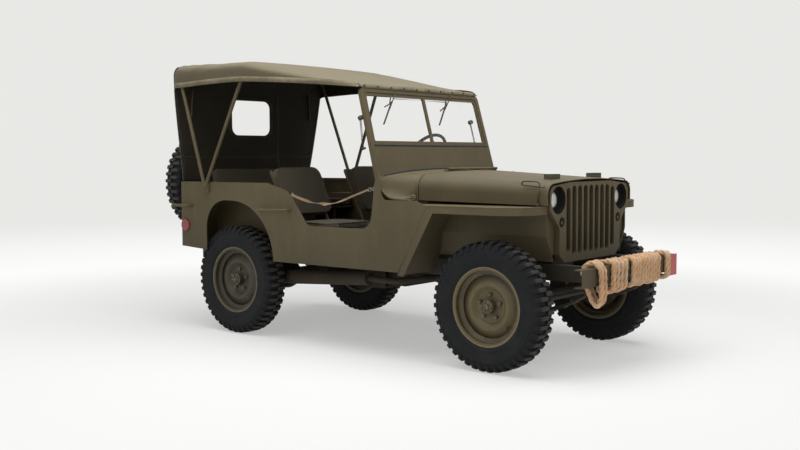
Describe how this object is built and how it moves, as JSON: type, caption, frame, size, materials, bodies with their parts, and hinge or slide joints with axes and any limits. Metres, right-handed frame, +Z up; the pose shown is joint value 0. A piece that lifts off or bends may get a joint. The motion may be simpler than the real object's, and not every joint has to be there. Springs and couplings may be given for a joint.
{
  "type": "light military 4x4 car",
  "caption": "Open-sided light 4x4 army car with canvas top up, flat guards, slotted front guard, spare wheel behind and rope round the bumper; rolls, steers, hood opens.",
  "frame": {"origin": "on the ground under the middle of the car's length and width, without the rope", "axes": "+X forward, +Y to the car's left, +Z up"},
  "size_m": [3.3323, 1.575, 1.8238],
  "materials": {
    "olive_metal": "matt olive drab",
    "disc_paint": "matt olive drab, dusty",
    "chassis_metal": "matt, dusty",
    "cast_metal": "painted casting",
    "exhaust_metal": "dull, rusty",
    "wheel_black": "hard black-green",
    "column_paint": "matt",
    "lamp_metal": "matt with a lens",
    "lamp_red": "red lens in a painted shell",
    "glass": "clear",
    "canvas": "woven cotton canvas",
    "seat_canvas": "woven canvas over padding",
    "tyre": "worn rubber",
    "webbing": "cotton webbing",
    "rope": "laid hemp",
    "sign_red": "semi-gloss red, blank",
    "block_wood": "painted wood"
  },
  "bodies": {
    "chassis": {"front_bumper": "olive_metal", "rear_bumperettes": "olive_metal", "cowl": "olive_metal", "body_floor": "olive_metal", "rear_panel": "olive_metal", "grille": "olive_metal", "windshield_frame": "olive_metal", "glass_frame": "olive_metal", "top_bows": "olive_metal", "body_handles": "olive_metal", "spare_carrier": "olive_metal", "body_side_right": "olive_metal", "body_side_left": "olive_metal", "fender_right": "olive_metal", "fender_left": "olive_metal", "front_seats": "olive_metal", "spare_wheel": "disc_paint", "frame_rails": "chassis_metal", "cross_members": "chassis_metal", "pintle_hook": "chassis_metal", "front_axle": "chassis_metal", "rear_axle": "chassis_metal", "leaf_springs": "chassis_metal", "propeller_shafts": "chassis_metal", "fuel_tank": "chassis_metal", "radiator": "chassis_metal", "engine_block": "cast_metal", "gearbox": "cast_metal", "exhaust": "exhaust_metal", "steering_column": "column_paint", "front_lamps": "lamp_metal", "rear_lamps": "lamp_red", "glass_panes": "glass", "canvas_top": "canvas", "rear_curtain": "canvas", "front_cushions": "seat_canvas", "rear_seat": "seat_canvas", "spare_tyre": "tyre", "door_straps": "webbing", "rope_turns": "rope", "rope_end_turns": "rope", "rope_loop": "rope", "sign_plate": "sign_red"},
    "hood": {"hood": "olive_metal", "hood_blocks": "block_wood"},
    "knuckle_right": {"knuckle_right": "chassis_metal"},
    "knuckle_left": {"knuckle_left": "chassis_metal"},
    "tie_rod": {"tie_rod": "chassis_metal"},
    "steering_wheel": {"steering_wheel": "wheel_black"},
    "wheel_front_right": {"wheel_front_right": "disc_paint", "tyre_front_right": "tyre"},
    "wheel_front_left": {"wheel_front_left": "disc_paint", "tyre_front_left": "tyre"},
    "wheel_rear_right": {"wheel_rear_right": "disc_paint", "tyre_rear_right": "tyre"},
    "wheel_rear_left": {"wheel_rear_left": "disc_paint", "tyre_rear_left": "tyre"}
  },
  "joints": [
    {"name": "hood_hinge", "type": "hinge", "parent": "chassis", "child": "hood", "pos_m": [0.555, 0, 1.104], "axis": [0, -1, 0], "range_deg": [0, 95]},
    {"name": "steer_right", "type": "hinge", "parent": "chassis", "child": "knuckle_right", "pos_m": [1.118, -0.515, 0.361], "axis": [0, 0, 1], "range_deg": [-27, 27]},
    {"name": "steer_left", "type": "hinge", "parent": "chassis", "child": "knuckle_left", "pos_m": [1.118, 0.515, 0.361], "axis": [0, 0, 1], "range_deg": [-27, 27]},
    {"name": "tie_rod_pivot", "type": "hinge", "parent": "knuckle_right", "child": "tie_rod", "pos_m": [1.268, -0.515, 0.375], "axis": [0, 0, 1], "range_deg": [-27, 27]},
    {"name": "steering_wheel_turn", "type": "hinge", "parent": "chassis", "child": "steering_wheel", "pos_m": [-0.14, 0.37, 1.157], "axis": [-0.8387, 0, 0.5446], "range_deg": [-378, 378]},
    {"name": "spin_front_right", "type": "hinge", "parent": "knuckle_right", "child": "wheel_front_right", "pos_m": [1.118, -0.6225, 0.361], "axis": [0, 1, 0], "continuous": true},
    {"name": "spin_front_left", "type": "hinge", "parent": "knuckle_left", "child": "wheel_front_left", "pos_m": [1.118, 0.6225, 0.361], "axis": [0, 1, 0], "continuous": true},
    {"name": "spin_rear_right", "type": "hinge", "parent": "chassis", "child": "wheel_rear_right", "pos_m": [-0.914, -0.6225, 0.361], "axis": [0, 1, 0], "continuous": true},
    {"name": "spin_rear_left", "type": "hinge", "parent": "chassis", "child": "wheel_rear_left", "pos_m": [-0.914, 0.6225, 0.361], "axis": [0, 1, 0], "continuous": true}
  ],
  "couplings": [
    {"joint": "steer_left", "follows": "steer_right", "ratio": 1},
    {"joint": "tie_rod_pivot", "follows": "steer_right", "ratio": -1},
    {"joint": "steering_wheel_turn", "follows": "steer_right", "ratio": 14}
  ]
}
